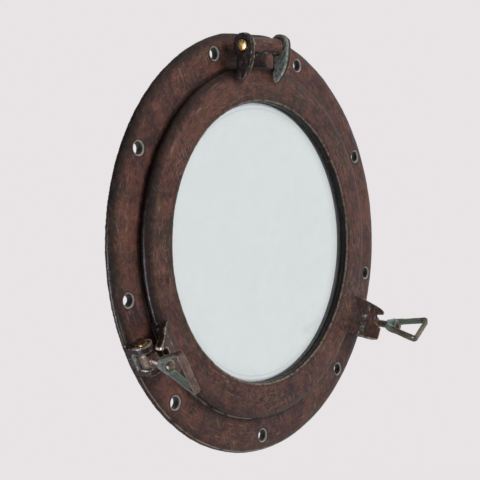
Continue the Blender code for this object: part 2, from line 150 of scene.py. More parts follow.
def cut(obj, shape, mat, operation="DIFFERENCE"):
    """Applies a Boolean with a bmesh, whose faces bring their own material."""
    cutter = piece_from("cutter", shape, [mat])
    modifier = obj.modifiers.new("cut", "BOOLEAN")
    modifier.operation = operation
    modifier.solver = "MANIFOLD"
    modifier.material_mode = "TRANSFER"
    modifier.object = cutter
    evaluated(obj)
    bpy.data.objects.remove(cutter, do_unlink=True)


def remeshed(obj, voxel):
    modifier = obj.modifiers.new("remesh", "REMESH")
    modifier.mode = "VOXEL"
    modifier.voxel_size = voxel * MM
    modifier.use_smooth_shade = True
    return evaluated(obj)


def arc(centre, radius_x, radius_y, start, end, steps):
    points = []
    for i in range(steps + 1):
        angle = math.radians(start + (end - start) * i / steps)
        points.append((centre[0] + radius_x * math.cos(angle), centre[1] + radius_y * math.sin(angle)))
    return points


def skin(bm, rings, caps=True):
    """Faces between rings of vertices, whose ends are capped or joined up."""
    for first, second in zip(rings, rings[1:] if caps else rings[1:] + rings[:1]):
        for i in range(len(first)):
            k = (i + 1) % len(first)
            bm.faces.new((first[i], first[k], second[k], second[i]))
    if caps:
        bm.faces.new(rings[0])
        bm.faces.new(rings[-1])
    return bm


def turned(profile, segments=180):
    """A closed (radius, height) outline turned about the porthole's axis."""
    bm = bmesh.new()
    rings = []
    for i in range(segments):
        angle = 2 * math.pi * i / segments
        rings.append([bm.verts.new((r * math.cos(angle), -h, r * math.sin(angle))) for r, h in profile])
    return skin(bm, rings, caps=False)


def rod(sections, place, segments=48):
    """A solid of revolution from (along, radius) stations. place turns (a, b, along) into a point."""
    bm = bmesh.new()
    rings = []
    for along, radius in sections:
        circle = arc((0, 0), radius, radius, 0, 360 * (segments - 1) / segments, segments - 1)
        rings.append([bm.verts.new(place(a, b, along)) for a, b in circle])
    return skin(bm, rings)


def bore(half_length, radius, place):
    """A straight rod that cuts a hole through the origin of its place."""
    return rod([(-half_length, radius), (half_length, radius)], place)


def box(low, high, place):
    bm = bmesh.new()
    bmesh.ops.create_cube(bm, size=1.0)
    for vert in bm.verts:
        at = [low[i] + (high[i] - low[i]) * (vert.co[i] + 0.5) for i in range(3)]
        vert.co = Vector(place(*at))
    return bm


def joined(*parts):
    """Several bmeshes as one."""
    whole = bmesh.new()
    for part in parts:
        mesh = bpy.data.meshes.new("part")
        part.to_mesh(mesh)
        part.free()
        whole.from_mesh(mesh)
        bpy.data.meshes.remove(mesh)
    return whole


def front_place(x, z):
    return lambda a, b, h: (x + a, -h, z + b)


def bolt_place(a, b, along):
    """Bolts and nuts are made on their own axes, and moved when finished."""
    return (a, b, along)


def eye_place(a, b, across):
    return (across, a, b)


def hinge_rod_place(a, b, x):
    return (x, -(HINGE_H + b), HINGE_Z + a)


def polar(radius, degrees):
    angle = math.radians(degrees)
    return radius * math.cos(angle), radius * math.sin(angle)


def spun(place, degrees):
    """The same place, turned about its own axis."""
    cos, sin = polar(1.0, degrees)
    return lambda a, b, along: place(a * cos - b * sin, a * sin + b * cos, along)


def dog_place(side):
    """(radial, height, tangential) at a dog, as a point."""
    cos, sin = polar(1.0, DOG_ANGLES[side])
    return lambda r, h, t: (r * cos - t * sin, -h, r * sin + t * cos)


def dog_pin_place(side):
    place = dog_place(side)
    return lambda a, b, t: place(DOG_PIN_RADIUS + a, DOG_PIN_H + b, t)


def bolt_matrix(side, spin=0.0):
    """X is tangential and Z runs up the leaning bolt from its pin. spin turns it about the bolt."""
    place = dog_place(side)
    lean = math.radians(DOG_LEAN)
    up = Vector(place(math.sin(lean), math.cos(lean), 0))
    tangent = Vector(place(0, 0, 1))
    turn = Matrix((tangent, up.cross(tangent), up)).transposed().to_4x4()
    turn = turn @ Matrix.Rotation(math.radians(spin), 4, "Z")
    return Matrix.Translation(Vector(place(DOG_PIN_RADIUS, DOG_PIN_H, 0))) @ turn


# Fields on a mesh, held as numpy arrays in millimetres


class Field:
    """A mesh's vertices with what is needed to smooth them and to smooth values on them."""

    def __init__(self, mesh):
        self.mesh = mesh
        count = len(mesh.vertices)
        points = np.empty(count * 3)
        mesh.vertices.foreach_get("co", points)
        self.at = points.reshape(-1, 3) / MM
        ends = np.empty(len(mesh.edges) * 2, np.int64)
        mesh.edges.foreach_get("vertices", ends)
        self.ends = ends.reshape(-1, 2)
        self.degree = np.maximum(np.bincount(ends, minlength=count), 1)

    @property
    def height(self):
        return -self.at[:, 1]

    def mean(self, values):
        """Each vertex's average over its neighbours."""
        a, b = self.ends[:, 0], self.ends[:, 1]
        count = len(self.at)
        total = np.bincount(a, weights=values[b], minlength=count)
        total += np.bincount(b, weights=values[a], minlength=count)
        return total / self.degree

    def mean_points(self):
        return np.stack([self.mean(self.at[:, i]) for i in range(3)], axis=1)

    def normals(self):
        self.write()
        out = np.empty(len(self.at) * 3)
        self.mesh.vertex_normals.foreach_get("vector", out)
        return out.reshape(-1, 3)

    def smooth(self, rounds, where=1.0):
        """Smooths without shrinking: each step in is followed by one out."""
        weight = np.broadcast_to(where, len(self.at))[:, None]
        for _ in range(rounds):
            for step in (0.5, -0.52):
                self.at = self.at + step * weight * (self.mean_points() - self.at)

    def fill(self, rounds, where):
        """Raises only hollow corners, which leaves a cast fillet in them."""
        for i in range(rounds):
            if i % 3 == 0:
                normals = self.normals()
            rise = ((self.mean_points() - self.at) * normals).sum(1)
            self.at = self.at + (0.7 * where * np.maximum(rise, 0))[:, None] * normals

    def bend(self):
        """How far each vertex stands out of its neighbours: above 0 on an edge, below 0 in a corner."""
        return ((self.at - self.mean_points()) * self.normals()).sum(1)

    def blur(self, values, rounds):
        for _ in range(rounds):
            values = 0.5 * values + 0.5 * self.mean(values)
        return values

    def swell(self, amount):
        """Moves each vertex out along its normal."""
        self.at = self.at + amount[:, None] * self.normals()
        self.write()

    def write(self):
        self.mesh.vertices.foreach_set("co", (self.at * MM).astype(np.float32).ravel())
        self.mesh.update()

    def store(self, name, values):
        attribute = self.mesh.attributes.get(name) or self.mesh.attributes.new(name, "FLOAT", "POINT")
        attribute.data.foreach_set("value", np.asarray(values, np.float32))


def waves(at, length, seed, count=14):
    """A smooth unevenness between about -1 and 1, with features of this length in mm."""
    rng = np.random.default_rng(seed)
    turn = rng.normal(size=(count, 3))
    frequency = (2 * math.pi / length) * rng.uniform(0.6, 1.5, (count, 1))
    turn *= frequency / np.linalg.norm(turn, axis=1)[:, None]
    phase = rng.uniform(0, 2 * math.pi, count)
    return np.sin(at @ turn.T + phase).sum(1) / math.sqrt(count)


def uneven(at, *layers):
    """Waves of several sizes together, each given as (height, length, seed)."""
    return sum(height * waves(at, length, seed) for height, length, seed in layers)


def step_between(low, high, values):
    t = np.clip((values - low) / (high - low), 0, 1)
    return t * t * (3 - 2 * t)


def welded_copy(node, name, mat):
    """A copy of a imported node, with the corners that its faces share made one."""
    obj = new_object(name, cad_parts[node].data.copy())
    obj.data.materials.clear()
    obj.data.materials.append(mat)
    bm = bmesh.new()
    bm.from_mesh(obj.data)
    bmesh.ops.remove_doubles(bm, verts=bm.verts, dist=1e-6)
    bm.to_mesh(obj.data)
    bm.free()
    return obj


def circled(at):
    """Points on the flat sides of a turned shape, moved out onto the circle."""
    half = math.pi / FLANGE_SEGMENTS
    angle = np.arctan2(at[:, 2], at[:, 0])
    off = (angle % (2 * half)) - half
    scale = np.cos(off) / math.cos(half)
    return at * np.stack([scale, np.ones(len(at)), scale], axis=1)


def onto_round(at, outer_r, edge_h, round_r, top_h, where=True):
    """Points close under an edge's elliptical rounding, moved onto it."""
    edge, round_h = outer_r - round_r, top_h - edge_h
    radius = np.hypot(at[:, 0], at[:, 2])
    u, v = (radius - edge) / round_r, (-at[:, 1] - edge_h) / round_h
    q = np.sqrt(u * u + v * v)
    near = where & (u > 0) & (v > 0) & (q > 0.9) & (q < 1.02)
    q = np.where(near, q, 1.0)
    new_radius, new_h = edge + round_r * u / q, edge_h + round_h * v / q
    scale = np.where(near, new_radius / np.maximum(radius, 1e-6), 1.0)
    out = at * np.stack([scale, np.ones(len(at)), scale], axis=1)
    out[:, 1] = np.where(near, -new_h, at[:, 1])
    return out


def local(at, side):
    """(radial, height, tangential) of points, measured at a dog."""
    cos, sin = polar(1.0, DOG_ANGLES[side])
    return at[:, 0] * cos + at[:, 2] * sin, -at[:, 1], -at[:, 0] * sin + at[:, 2] * cos


# The two castings


def cast_blank(node, name, mat):
    """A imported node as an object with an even, fine mesh and softened corners."""
    obj = welded_copy(node, name, mat)
    field = Field(obj.data)
    field.at = circled(field.at)
    field.write()
    field = Field(remeshed(obj, CAST_VOXEL))
    field.smooth(4)
    return obj, field


def hole_cutters():
    """The nine screw holes, each with its countersink."""
    sections = [(-2, HOLE_R), (FLANGE_H - 1.5, HOLE_R), (FLANGE_H - 1.3, HOLE_R + 0.2)]
    sections += [(FLANGE_H + 0.1, HOLE_R + 1.4), (FLANGE_H + 3, HOLE_R + 1.5)]
    return joined(*(rod(sections, front_place(*polar(HOLE_PITCH_R, angle)), 40) for angle in HOLE_ANGLES))


def wear_of(field, rough):
    """Stores how far edges stand out and corners lie in, for the finish to wear and darken."""
    bend = field.bend()
    edge = field.blur(np.maximum(bend - 0.2 * rough, 0), 2)
    corner = field.blur(np.maximum(-bend - 0.2 * rough, 0), 5)
    field.store("edge", np.clip(edge / rough, 0, 1))
    field.store("corner", np.clip(corner / (0.5 * rough), 0, 1))


def make_flange_casting(mats):
    obj, field = cast_blank("mounting_flange", "flange_casting", mats[0])
    h = field.height
    in_fork = np.zeros(len(h), bool)
    for side in DOG_ANGLES:
        r, _, t = local(field.at, side)
        in_fork |= (r > 134) & (np.abs(t) < FORK_T[0] + 0.6)
    field.fill(14, np.where((h > FLANGE_H - 0.8) & ~in_fork, 1.0, 0.0))
    field.smooth(2)
    below_flat = field.at[:, 2] < FLANGE_FLAT_Z - 0.6
    field.at = onto_round(field.at, FLANGE_R, FLANGE_EDGE_H, FLANGE_ROUND, FLANGE_H, below_flat)
    h = field.height
    field.at[:, 1] = np.where(np.abs(h) < 0.35, 0.0, field.at[:, 1])
    rough = uneven(field.at, (0.10, 34, 1), (0.06, 9, 2), (0.03, 3.4, 3))
    feature = step_between(FLANGE_H + 0.6, FLANGE_H + 3, h)
    rough = rough * np.where(h > 0.5, 0.75 + 0.6 * feature, 0.0) - 0.06
    field.swell(np.minimum(rough, MAX_SWELL))
    for side in DOG_ANGLES:
        cut(obj, bore(20, PIN_BORE_R, dog_pin_place(side)), mats[0])
    cut(obj, bore(40, HINGE_BORE_R, hinge_rod_place), mats[0])
    field = Field(obj.data)
    wear_of(field, CAST_ROUGH)
    green = np.zeros(len(field.at))
    for side in DOG_ANGLES:
        r, h, t = local(field.at, side)
        inside = (r > FORK_R) & (h > FLANGE_H - 0.4) & (np.abs(t) < FORK_T[0] + 0.5)
        outside = (r > FORK_R) & (h > FLANGE_H + 0.5) & (np.abs(t) < FORK_T[1] + 2)
        green = np.maximum(green, np.where(inside, 1.0, np.where(outside, 0.35, 0.0)))
    h, z = field.height, field.at[:, 2]
    hinge = (z > 132) & (np.abs(field.at[:, 0]) < 20) & (h > FLANGE_H + 1)
    green = np.maximum(green, np.where(hinge & (z < 136), 0.5, np.where(hinge, 0.2, 0.0)))
    field.store("verdigris", field.blur(green, 2))
    field.store("feature", step_between(FLANGE_H + 0.5, FLANGE_H + 2.5, h))
    cut(obj, hole_cutters(), mats[1])
    shade(obj.data, CAST_SHARP)
    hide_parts("mounting_flange")
    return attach(obj, "frame")


def bore_cutter():
    """The turned inside of the window ring: sight bore with an eased edge, and the glass pocket."""
    profile = [(90, 20), (SIGHT_R + 6, 20), (SIGHT_R + 3.4, RING_TOP_H + 0.4)]
    profile += arc((SIGHT_R + 1.9, 10.9), 1.9, 1.75, 90, 180, 6)
    profile += [(SIGHT_R, LIP_UNDER_H), (POCKET_R, LIP_UNDER_H)]
    profile += [(POCKET_R, SPIGOT_H - 3), (90, SPIGOT_H - 3)]
    return turned(profile, 200)


def make_ring_casting(mat):
    obj, field = cast_blank("window_ring", "ring_casting", mat)
    at, h = field.at, field.height
    radius = np.hypot(at[:, 0], at[:, 2])
    open_front = (h > RING_TOP_H - 1.2) & (radius > SIGHT_R + 3)
    in_slot = np.zeros(len(h), bool)
    for side in DOG_ANGLES:
        r, _, t = local(at, side)
        in_slot |= (r > 136) & (np.abs(t) < 6.2) & (h > 13)
        in_slot |= (r > 128) & (h > 6) & (h < 22) & (np.abs(t) < 20) & (r - 126 > (h - 12) * 0.8)
    in_hinge = (np.abs(at[:, 0]) < 24) & (at[:, 2] > 128)
    field.fill(16, np.where(open_front & ~in_slot & ~in_hinge, 1.0, 0.0))
    field.smooth(2)
    field.at = onto_round(field.at, RING_R, RING_EDGE_H, RING_ROUND, RING_TOP_H)
    h = field.height
    rough = uneven(field.at, (0.10, 30, 11), (0.06, 8, 12), (0.035, 3.2, 13))
    feature = step_between(RING_TOP_H + 0.6, RING_TOP_H + 3, h)
    rough = rough * np.where(h > 7.4, 0.75 + 0.6 * feature, 0.2) - 0.05
    field.swell(np.minimum(rough, MAX_SWELL))
    cut(obj, bore_cutter(), mat)
    cut(obj, bore(41, HINGE_BORE_R, hinge_rod_place), mat)
    field = Field(obj.data)
    wear_of(field, CAST_ROUGH)
    at, normals, h = field.at, field.normals(), field.height
    ear = (at[:, 2] > 112.5) & (h > RING_TOP_H + 0.2) & (np.abs(at[:, 0]) < 24.5)
    inner_right = ear & (normals[:, 0] < -0.45) & (at[:, 0] > 0)
    inner_left = ear & (normals[:, 0] > 0.45) & (at[:, 0] < 0)
    outer = ear & ~inner_right & ~inner_left
    green = np.where(inner_right, 1.0, np.where(inner_left, 0.6, np.where(outer, 0.30, 0.0)))
    for side in DOG_ANGLES:
        r, hh, t = local(at, side)
        under = (r > 127.5) & (np.abs(t) < 22) & (hh < 22) & (hh > 7)
        prong = (r > 134) & (np.abs(t) < 22) & (hh > 13)
        green = np.maximum(green, np.where(under, 0.45, np.where(prong, 0.16, 0.0)))
    field.store("verdigris", field.blur(green, 1))
    field.store("feature", step_between(RING_TOP_H + 0.5, RING_TOP_H + 2.5, h))
    shade(obj.data, CAST_SHARP)
    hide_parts("window_ring")
    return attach(obj, "window")


# Glazing


def make_turned_piece(name, node, profile, mat):
    obj = piece_from(name, turned(profile), [mat])
    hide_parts(node)
    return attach(obj, "window")


def make_gasket(mat):
    low, high = GASKET_H
    inner, outer = GASKET_R
    ease = 0.2
    outline = [(inner, low + ease), (inner + ease, low), (outer, low), (outer, high)]
    outline += [(inner + ease, high), (inner, high - ease)]
    make_turned_piece("gasket", "glass_gasket", outline, mat)


def make_seal(mat):
    middle, half = sum(SEAL_R) / 2, (SEAL_R[1] - SEAL_R[0]) / 2
    outline = arc((middle, SEAL_FOOT_H), half, SEAL_FOOT_H - FLANGE_H - GAP, 180, 360, 12)
    outline += [(SEAL_R[1], SEAL_TOP_H), (SEAL_R[0], SEAL_TOP_H)]
    make_turned_piece("seal", "weather_seal", outline, mat)


def make_glass(mat):
    low, high = GLASS_H
    ease, nick = 0.45, 0.13
    sections = [(low, GLASS_R - ease), (low + nick, GLASS_R - nick), (low + ease, GLASS_R)]
    sections += [(high - ease, GLASS_R), (high - nick, GLASS_R - nick), (high, GLASS_R - ease)]
    obj = piece_from("glass_pane", rod(sections, front_place(0, 0), 180), [mat], GLASS_SHARP)
    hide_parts("window_glass")
    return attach(obj, "window")


def screw_place(index):
    return front_place(*polar(SCREW_PITCH_R, 30 + 360 * index / SCREW_COUNT))


def make_retainer(mat):
    low, high = RETAINER_H
    inner, outer = RETAINER_R
    round_r, ease = 0.4, 0.2
    profile = arc((inner + round_r, low + round_r), round_r, round_r, 180, 270, 3)
    profile += arc((outer - round_r, low + round_r), round_r, round_r, 270, 360, 3)
    profile += [(outer, high - ease), (outer - ease, high), (inner + ease, high), (inner, high - ease)]
    obj = piece_from("retaining_ring", turned(profile), [mat])
    countersink = [(low - 1, 3.2), (low + 0.25, 3.2), (high - 0.2, 1.8), (high + 1, 1.8)]
    cut(obj, joined(*(rod(countersink, screw_place(index), 32) for index in range(SCREW_COUNT))), mat)
    shade(obj.data, CUT_SHARP)
    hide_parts("glass_retaining_ring")
    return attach(obj, "window")


def make_retaining_screws(mat):
    low, high = RETAINER_H
    for index in range(SCREW_COUNT):
        place = screw_place(index)
        sections = [(low + 0.08, 2.5), (low + 0.1, 2.7), (low + 0.22, 2.88), (low + 0.36, 2.88)]
        sections += [(high - 0.45, SCREW_R), (SCREW_TOP_H - 0.8, SCREW_R), (SCREW_TOP_H, 0.8)]
        obj = piece_from(f"retaining_screw_{index + 1}_slotted", rod(sections, place, 40), [mat])
        slot = box((-4, -0.4, low - 1), (4, 0.4, low + 0.75), spun(place, 37 + 71 * index))
        cut(obj, slot, mat)
        shade(obj.data, CUT_SHARP)
        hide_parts(f"retaining_screw_{index + 1}")
        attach(obj, "window")


# Hinge and dog hardware


def make_pin(name, node, half_length, radius, place, mat, slot_turn=None):
    """A turned pin with peened ends; the hinge pin also has a driver slot in each end."""
    ends = [(0.0, 0.9 + 0.5), (0.12, 0.9), (0.32, 0.45), (0.6, 0.12), (0.95, 0.0)]
    sections = [(-half_length + a, radius - inset) for a, inset in ends]
    sections += [(half_length - a, radius - inset) for a, inset in reversed(ends)]
    obj = piece_from(name, rod(sections, place, 56), [mat])
    if slot_turn is not None:
        for sign in (-1, 1):
            low, high = sorted((sign * (half_length - 0.55), sign * (half_length + 1)))
            cut(obj, box((-6, -0.42, low), (6, 0.42, high), spun(place, slot_turn)), mat)
        shade(obj.data, CUT_SHARP)
    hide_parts(node)
    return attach(obj, "frame")


def make_washer(side, sign, mat):
    low, high = sorted((sign * WASHER_X[0], sign * WASHER_X[1]))
    ease = 0.2
    sections = [(low, WASHER_R - ease), (low + ease, WASHER_R)]
    sections += [(high - ease, WASHER_R), (high, WASHER_R - ease)]
    obj = piece_from(f"washer_{side}", rod(sections, hinge_rod_place, 64), [mat])
    hole = [(low - 2, HINGE_PIN_R + 0.2), (high + 2, HINGE_PIN_R + 0.2)]
    cut(obj, rod(hole, hinge_rod_place), mat)
    shade(obj.data, CUT_SHARP)
    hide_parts(f"hinge_washer_{side}")
    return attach(obj, "frame")


def threaded_shank(start, tip, radius, segments=36):
    """A shank whose ridge climbs one pitch each turn, and dies away at both ends."""
    bm = bmesh.new()
    steps = int((tip - start) / THREAD_PITCH * STEPS_PER_TURN)
    rings = []
    for j in range(steps + 1):
        s = start + (tip - start) * j / steps
        fade = min(1.0, (s - start) / 1.5, (tip - s) / 0.8)
        ring = []
        for i in range(segments):
            angle = 2 * math.pi * i / segments
            phase = ((s / THREAD_PITCH) - i / segments) % 1.0
            ridge = 1 - abs(2 * phase - 1)
            ridge = min(1.0, max(0.0, (ridge - 0.12) / 0.72))
            point = max(0.0, 1 - (tip - s) / 0.8)
            r = radius - THREAD_DEPTH * (1 - ridge) * max(fade, 0.0) - 0.5 * point
            ring.append(bm.verts.new((r * math.cos(angle), r * math.sin(angle), s)))
        rings.append(ring)
    return skin(bm, rings)


def make_swing_bolt(side, mat):
    half = EYE_HALF - 0.5
    eye = rod([(-EYE_HALF, EYE_R - 0.5), (-half, EYE_R), (half, EYE_R), (EYE_HALF, EYE_R - 0.5)], eye_place)
    neck = box((-half, -NECK_HALF, 0), (half, NECK_HALF, NECK_TOP), bolt_place)
    collar = rod([(6.0, 3.5), (8.0, 3.5), (8.6, 3.0)], bolt_place)
    obj = piece_from(f"eye_bolt_{side}", joined(eye, neck, collar), [mat])
    field = Field(remeshed(obj, BOLT_VOXEL))
    field.smooth(5)
    field.swell(uneven(field.at, (0.05, 4, 21)))
    cut(obj, threaded_shank(SHANK_START, SHANK_TIP, SHANK_R - 0.02), mat, "UNION")
    cut(obj, bore(12, PIN_BORE_R, eye_place), mat)
    wear_of(Field(obj.data), BOLT_ROUGH)
    place_piece(obj, bolt_matrix(side))
    shade(obj.data, FORGED_SHARP)
    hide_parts(f"swing_bolt_{side}")
    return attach(obj, f"dog_{side}")


def place_piece(obj, matrix):
    """Moves a finished mesh from the bolt's own axes, in millimetres, to its place."""
    real = matrix.copy()
    real.translation = matrix.translation * MM
    obj.data.transform(real)


def nut_centreline():
    """The bends of the strip's middle line, as (across, along the bolt): the vertex and two corners."""
    vertex = (0.0, NUT_START + 1.5 + NUT_BEND)
    bar = NUT_START + NUT_LENGTH
    corner_at = (NUT_HALF_BAR - NUT_CORNER, bar - NUT_CORNER)
    across, along = corner_at[0] - vertex[0], corner_at[1] - vertex[1]
    distance = math.hypot(across, along)
    turn = math.acos((NUT_BEND - NUT_CORNER) / distance)
    tangent = math.degrees(math.atan2(along, across) - turn)
    bottom = arc(vertex, NUT_BEND, NUT_BEND, -180 - tangent, tangent, 26)
    right = arc(corner_at, NUT_CORNER, NUT_CORNER, tangent, 90, 9)
    left = arc((-corner_at[0], corner_at[1]), NUT_CORNER, NUT_CORNER, 90, 180 - tangent, 9)
    return bottom, right, left


def stretch(first, second, steps):
    """Points strictly between two points."""
    (x0, y0), (x1, y1) = first, second
    return [(x0 + (x1 - x0) * i / steps, y0 + (y1 - y0) * i / steps) for i in range(1, steps)]


def nut_strip(seed):
    """The bent strip: a rounded section carried round the middle line, thicker at the bolt."""
    bottom, right, left = nut_centreline()
    path = bottom + stretch(bottom[-1], right[0], 14) + right + stretch(right[-1], left[0], 14)
    path += left + stretch(left[-1], bottom[0], 14)
    bm = bmesh.new()
    count = len(path)
    rings = []
    for i, point in enumerate(path):
        along_share = (point[1] - NUT_START) / NUT_LENGTH
        vertex_share = max(0.0, 1 - along_share / 0.42)
        half_t = NUT_HALF_THICK + 0.34 * vertex_share
        ripple = 0.12 * math.sin(3.1 * i / count * 6.28 + seed)
        half_w = NUT_HALF_WIDTH + 0.85 * vertex_share + ripple
        before, after = Vector(path[i - 1]), Vector(path[(i + 1) % count])
        direction = (after - before).normalized()
        out = Vector((direction.y, -direction.x))
        outline = []
        for k in range(NUT_FACETS):
            angle = 2 * math.pi * (k + 0.5) / NUT_FACETS
            c, s = math.cos(angle), math.sin(angle)
            n = math.copysign(abs(c) ** 0.55, c) * half_t
            w = math.copysign(abs(s) ** 0.45, s) * half_w
            outline.append(bm.verts.new((point[0] + out.x * n, w, point[1] + out.y * n)))
        rings.append(outline)
    skin(bm, rings, caps=False)
    bmesh.ops.recalc_face_normals(bm, faces=bm.faces)
    return bm


def make_wing_nut(side, mat, seed):
    strip = nut_strip(seed)
    hub_low, hub_top = NUT_START + 0.15, NUT_START + NUT_HUB_LENGTH
    stations = [(hub_low, 3.9), (hub_low + 0.6, NUT_HUB_R), (hub_top - 0.7, NUT_HUB_R), (hub_top, 3.8)]
    hub = rod(stations, bolt_place)
    bmesh.ops.recalc_face_normals(hub, faces=hub.faces)
    obj = piece_from(f"loop_nut_{side}", joined(strip, hub), [mat])
    field = Field(remeshed(obj, NUT_VOXEL))
    field.smooth(3)
    field.fill(6, np.ones(len(field.at)))
    field.smooth(2)
    field.swell(uneven(field.at, (0.07, 11, seed), (0.05, 3.5, seed + 1)) - 0.04)
    cut(obj, threaded_shank(hub_low - 3, hub_top + 3, SHANK_R + 0.5), mat)
    field = Field(obj.data)
    wear_of(field, NUT_ROUGH)
    share = (field.at[:, 2] - NUT_START) / NUT_LENGTH
    normals = field.normals()
    inward = (((0.0, 0.0, NUT_CENTRE) - field.at) * normals).sum(1) > 0
    bar = step_between(0.83, 0.9, share)
    green = np.where(inward, 0.70, 0.42) * (1 - 0.9 * bar) + 0.5 * step_between(0.36, 0.08, share)
    field.store("verdigris", field.blur(np.clip(green, 0, 1), 2))
    place_piece(obj, bolt_matrix(side, NUT_SPIN[side]))
    shade(obj.data, FORGED_SHARP)
    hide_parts(f"wing_nut_{side}")
    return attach(obj, f"nut_{side}")


# Materials


class Graph:
    """The nodes of a new material or of the world, written as sums. mm is the object's own place."""

    def __init__(self, name, owner=None):
        self.owner = owner or bpy.data.materials.new(name)
        self.owner.use_nodes = True
        self.nodes, self.links = self.owner.node_tree.nodes, self.owner.node_tree.links
        self.shader = self.nodes.get("Principled BSDF")
        self.coords = self.node("TexCoord")
        self.mm = self.vector("SCALE", self.coords.outputs["Object"], scale=1000.0)

    def put(self, socket, value):
        if isinstance(value, bpy.types.NodeSocket):
            self.links.new(value, socket)
        elif isinstance(value, tuple) and len(value) == 3 and socket.type == "RGBA":
            socket.default_value = (*value, 1.0)
        else:
            socket.default_value = value

    def node(self, kind, *values, **settings):
        """A new node with these settings, and these values or sockets in its first inputs."""
        node = self.nodes.new("ShaderNode" + kind)
        for name, setting in settings.items():
            setattr(node, name, setting)
        for socket, value in zip(node.inputs, values):
            if value is not None:
                self.put(socket, value)
        return node

    def vector(self, operation, a, b=None, scale=None):
        node = self.node("VectorMath", a, b, None, scale, operation=operation)
        return node.outputs["Value" if operation in ("LENGTH", "DISTANCE", "DOT_PRODUCT") else "Vector"]

    def math(self, operation, a, *others):
        for b in others or (None,):
            a = self.node("Math", a, b, operation=operation).outputs[0]
        return a

    def add(self, *terms):
        return self.math("ADD", *terms)

    def times(self, *factors):
        return self.math("MULTIPLY", *factors)

    def most(self, *values):
        return self.math("MAXIMUM", *values)

    def around(self, noise, amount):
        """Noise that adds and takes away in equal parts."""
        return self.times(self.add(noise, -0.5), amount)

    def off(self, value, middle):
        """How far a value is from the middle."""
        return self.math("ABSOLUTE", self.add(value, -middle))

    def span(self, value, low, high, to_low=0.0, to_high=1.0):
        """A smooth step from to_low to to_high as the value goes from low to high."""
        stops = (low, high, to_low, to_high)
        return self.node("MapRange", value, *stops, interpolation_type="SMOOTHSTEP").outputs["Result"]

    def split(self, vector):
        return self.node("SeparateXYZ", vector).outputs

    def join(self, x, y, z):
        return self.node("CombineXYZ", x, y, z).outputs[0]

    def noise(self, scale, detail, roughness, offset=0.0, vector=None, distortion=0.0):
        shift = (offset, 0.7 * offset, -0.4 * offset)
        at = self.vector("ADD", vector if vector is not None else self.mm, shift)
        node = self.node("TexNoise", at, None, scale, detail, roughness)
        node.inputs["Distortion"].default_value = distortion
        return node.outputs["Fac"]

    def attribute(self, name):
        return self.node("Attribute", attribute_name=name).outputs["Fac"]

    def mix(self, share, a, b):
        node = self.node("Mix", share, data_type="RGBA")
        self.put(node.inputs[6], a)
        self.put(node.inputs[7], b)
        return node.outputs[2]

    def round_coords(self):
        """(radius, distance along the ring, Y), for marks that follow the ring."""
        x, y, z = self.split(self.mm)
        radius = self.vector("LENGTH", self.join(x, 0.0, z))
        turn = math.radians(SEAM_ANGLE + 180.0)
        rx = self.add(self.times(x, math.cos(turn)), self.times(z, math.sin(turn)))
        rz = self.add(self.times(z, math.cos(turn)), self.times(x, -math.sin(turn)))
        return radius, self.times(self.math("ARCTAN2", rz, rx), MARKS_R), y

    def hole_distance(self):
        """The distance from the nearest screw hole's axis, or 99 mm if that is less."""
        x, _, z = self.split(self.mm)
        at = self.join(x, 0.0, z)
        holes = [polar(HOLE_PITCH_R, angle) for angle in HOLE_ANGLES]
        away = [self.vector("DISTANCE", at, (hole_x, 0.0, hole_z)) for hole_x, hole_z in holes]
        return self.math("MINIMUM", 99.0, *away)

    def streaks(self, across, along, depth, fine, long, offset, low, high):
        """Thin marks: noise that is fine across and long along."""
        at = self.join(self.times(across, fine), self.times(along, long), self.times(depth, 0.3))
        return self.span(self.noise(1.0, 3.0, 0.6, offset, at), low, high)

    def bump(self, height, distance, strength=1.0):
        node = self.node("Bump")
        node.inputs["Strength"].default_value = strength
        node.inputs["Distance"].default_value = distance * MM
        self.put(node.inputs["Height"], height)
        return node.outputs["Normal"]

    def finish(self, colour, roughness, normal, metallic, specular=0.5):
        values = {"Base Color": colour, "Roughness": roughness, "Normal": normal}
        values.update({"Metallic": metallic, "Specular IOR Level": specular})
        for name, value in values.items():
            self.put(self.shader.inputs[name], value)
        return self.owner


